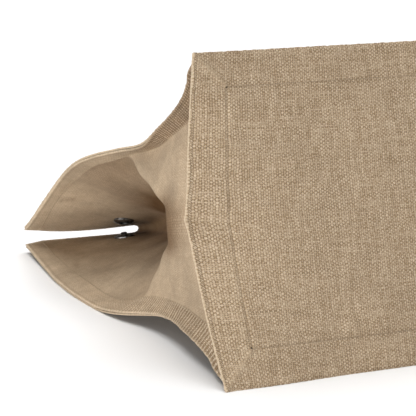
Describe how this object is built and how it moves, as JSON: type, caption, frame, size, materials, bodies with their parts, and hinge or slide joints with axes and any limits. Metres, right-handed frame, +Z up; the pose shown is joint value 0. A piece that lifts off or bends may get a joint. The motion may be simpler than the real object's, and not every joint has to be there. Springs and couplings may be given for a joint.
{
  "type": "linen tote bag",
  "caption": "Soft linen tote with folding side gussets, press studs and rolled handles, lying on its back panel with the mouth nearly shut.",
  "frame": {"origin": "middle of the whole bag's outline, on the surface that its back panel lies on", "axes": "+X across the bag from its left side to its right, +Y from the base to the mouth, +Z up off the back panel"},
  "size_m": [0.3724, 0.4374, 0.1457],
  "materials": {
    "linen": "natural undyed plain weave, slubby and matt",
    "cotton": "fine plain-weave cotton lining, matt",
    "board": "matt grey stiffener sheet",
    "leather": "tan vegetable-tanned leather, half gloss",
    "gunmetal": "dark gunmetal plating, satin"
  },
  "bodies": {
    "bag": {"base_panel": "linen", "front_panel": "linen", "back_panel": "linen", "left_gusset": "linen", "right_gusset": "linen", "base_board": "board", "base_lining": "cotton", "front_lining": "cotton", "back_lining": "cotton", "left_gusset_lining": "cotton", "right_gusset_lining": "cotton", "front_facing": "linen", "back_facing": "linen", "front_left_tail": "leather", "front_right_tail": "leather", "back_left_tail": "leather", "back_right_tail": "leather", "left_press_socket": "gunmetal", "left_press_stud": "gunmetal", "left_socket_cap": "gunmetal", "left_stud_cap": "gunmetal", "right_press_socket": "gunmetal", "right_press_stud": "gunmetal", "right_socket_cap": "gunmetal", "right_stud_cap": "gunmetal"},
    "front_handle": {"front_handle": "leather"},
    "back_handle": {"back_handle": "leather"}
  },
  "joints": [
    {"name": "front_handle_swing", "type": "hinge", "parent": "bag", "child": "front_handle", "pos_m": [0, 0.06424, 0.0202], "axis": [1, 0, 0], "range_deg": [-100, 0]},
    {"name": "back_handle_swing", "type": "hinge", "parent": "bag", "child": "back_handle", "pos_m": [0, 0.06424, 0.0029], "axis": [1, 0, 0], "range_deg": [0, 50]}
  ]
}
